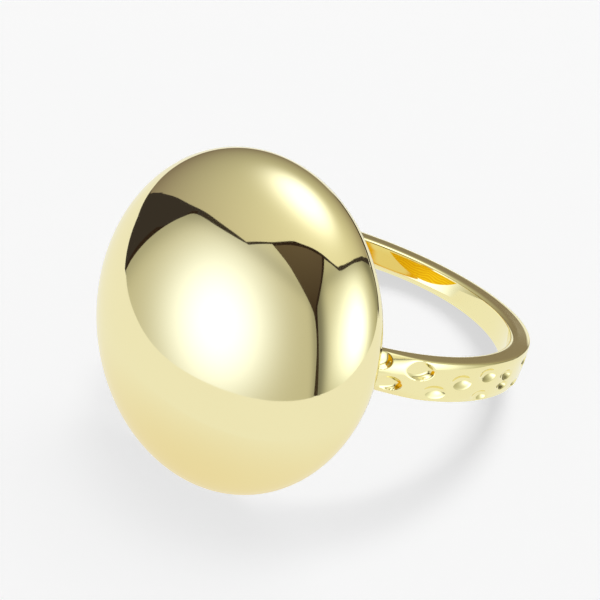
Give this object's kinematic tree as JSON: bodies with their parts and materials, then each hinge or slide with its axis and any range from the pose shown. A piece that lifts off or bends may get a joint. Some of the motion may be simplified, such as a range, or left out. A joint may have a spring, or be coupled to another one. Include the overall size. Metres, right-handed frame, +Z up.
{
  "type": "domed cocktail ring",
  "caption": "Mirror-polished finger ring with a large smooth oval dome on a narrow band whose outer wall has shallow oval dents; it lies on its side.",
  "frame": {"origin": "on the surface it lies on, below the middle of its bounding box", "axes": "+Z up from the surface; +X from the dome towards the back of the band; the finger's axis leans from +Z towards +X"},
  "size_m": [0.0232, 0.0192, 0.016],
  "materials": {
    "gold": "mirror-polished pale gold plate"
  },
  "bodies": {
    "root": {"ring": "gold"}
  },
  "joints": []
}
